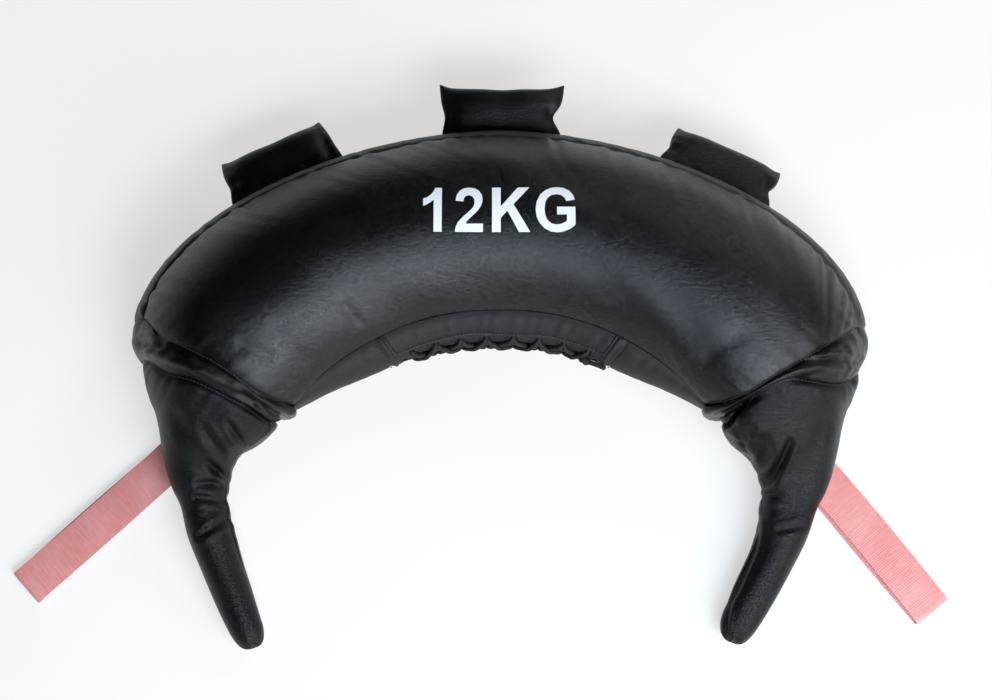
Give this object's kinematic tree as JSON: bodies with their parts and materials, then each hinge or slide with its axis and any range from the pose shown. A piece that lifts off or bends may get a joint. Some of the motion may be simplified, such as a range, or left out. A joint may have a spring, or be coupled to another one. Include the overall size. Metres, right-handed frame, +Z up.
{
  "type": "bulgarian bag",
  "caption": "Weighted crescent-shaped exercise bag with tapered horn handles, padded side grips, webbing strap loops and a laced filling opening.",
  "frame": {"origin": "on the flat of the back panel, in the middle of the bag, where it rests on the floor", "axes": "+X from the left horn to the right one, +Y from the horns' tips towards the long convex side, +Z up out of the floor through the front panel"},
  "size_m": [0.8803, 0.5364, 0.15],
  "materials": {
    "black_leather": "fine-grained black faux leather, semi-gloss",
    "gusset_leather": "black faux leather, satin",
    "black_cord": "matt braided cord",
    "wadding": "loose fibre wadding",
    "filler_sack": "cloth sacks of rubber crumb and sand",
    "grip_foam": "soft foam",
    "pink_webbing": "ribbed satin webbing"
  },
  "bodies": {
    "bag": {"front_panel": "black_leather", "back_panel": "black_leather", "end_gusset_left": "black_leather", "end_gusset_right": "black_leather", "horn_base_cover_left": "black_leather", "horn_base_cover_right": "black_leather", "outer_gusset": "gusset_leather", "inner_gusset_left": "gusset_leather", "inner_gusset_right": "gusset_leather", "opening_hem_front": "gusset_leather", "opening_hem_back": "gusset_leather", "closure_tongue": "gusset_leather", "closure_lace": "black_cord", "closure_lace_knot": "black_cord", "wadding_wrap": "wadding", "horn_base_stuffing_left": "wadding", "horn_base_stuffing_right": "wadding", "filler_sack_left": "filler_sack", "filler_sack_centre": "filler_sack", "filler_sack_right": "filler_sack"},
    "horn_left": {"horn_grip_cover_left": "black_leather", "horn_grip_stuffing_left": "wadding"},
    "horn_right": {"horn_grip_cover_right": "black_leather", "horn_grip_stuffing_right": "wadding"},
    "strap_left": {"strap_left": "pink_webbing"},
    "strap_right": {"strap_right": "pink_webbing"},
    "grip_left": {"grip_cover_left": "black_leather", "grip_core_left": "grip_foam"},
    "grip_centre": {"grip_cover_centre": "black_leather", "grip_core_centre": "grip_foam"},
    "grip_right": {"grip_cover_right": "black_leather", "grip_core_right": "grip_foam"}
  },
  "joints": [
    {"name": "horn_left_bend", "type": "hinge", "parent": "bag", "child": "horn_left", "pos_m": [-0.27598, -0.236, 0.0315], "axis": [0, 0, 1], "range_deg": [-15, 15], "stiffness_Nm_per_rad": 1.5},
    {"name": "horn_right_bend", "type": "hinge", "parent": "bag", "child": "horn_right", "pos_m": [0.27598, -0.236, 0.0315], "axis": [0, 0, 1], "range_deg": [-15, 15], "stiffness_Nm_per_rad": 1.5},
    {"name": "strap_left_swing", "type": "hinge", "parent": "bag", "child": "strap_left", "pos_m": [-0.29606, -0.18, 0.0103], "axis": [0.6781, -0.735, 0], "range_deg": [0, 90]},
    {"name": "strap_right_swing", "type": "hinge", "parent": "bag", "child": "strap_right", "pos_m": [0.27994, -0.18, 0.00929], "axis": [0.787, 0.617, 0], "range_deg": [0, 90]},
    {"name": "grip_left_fold", "type": "hinge", "parent": "bag", "child": "grip_left", "pos_m": [-0.20353, 0.06617, 0.06236], "axis": [0.9073, 0.4205, 0.0036], "range_deg": [-38, 82], "stiffness_Nm_per_rad": 1},
    {"name": "grip_centre_fold", "type": "hinge", "parent": "bag", "child": "grip_centre", "pos_m": [0.00192, 0.11275, 0.0625], "axis": [1, -0.0074, 0], "range_deg": [-56, 64], "stiffness_Nm_per_rad": 1},
    {"name": "grip_right_fold", "type": "hinge", "parent": "bag", "child": "grip_right", "pos_m": [0.2062, 0.06492, 0.06235], "axis": [0.9045, -0.4264, -0.0039], "range_deg": [-28, 92], "stiffness_Nm_per_rad": 1}
  ]
}
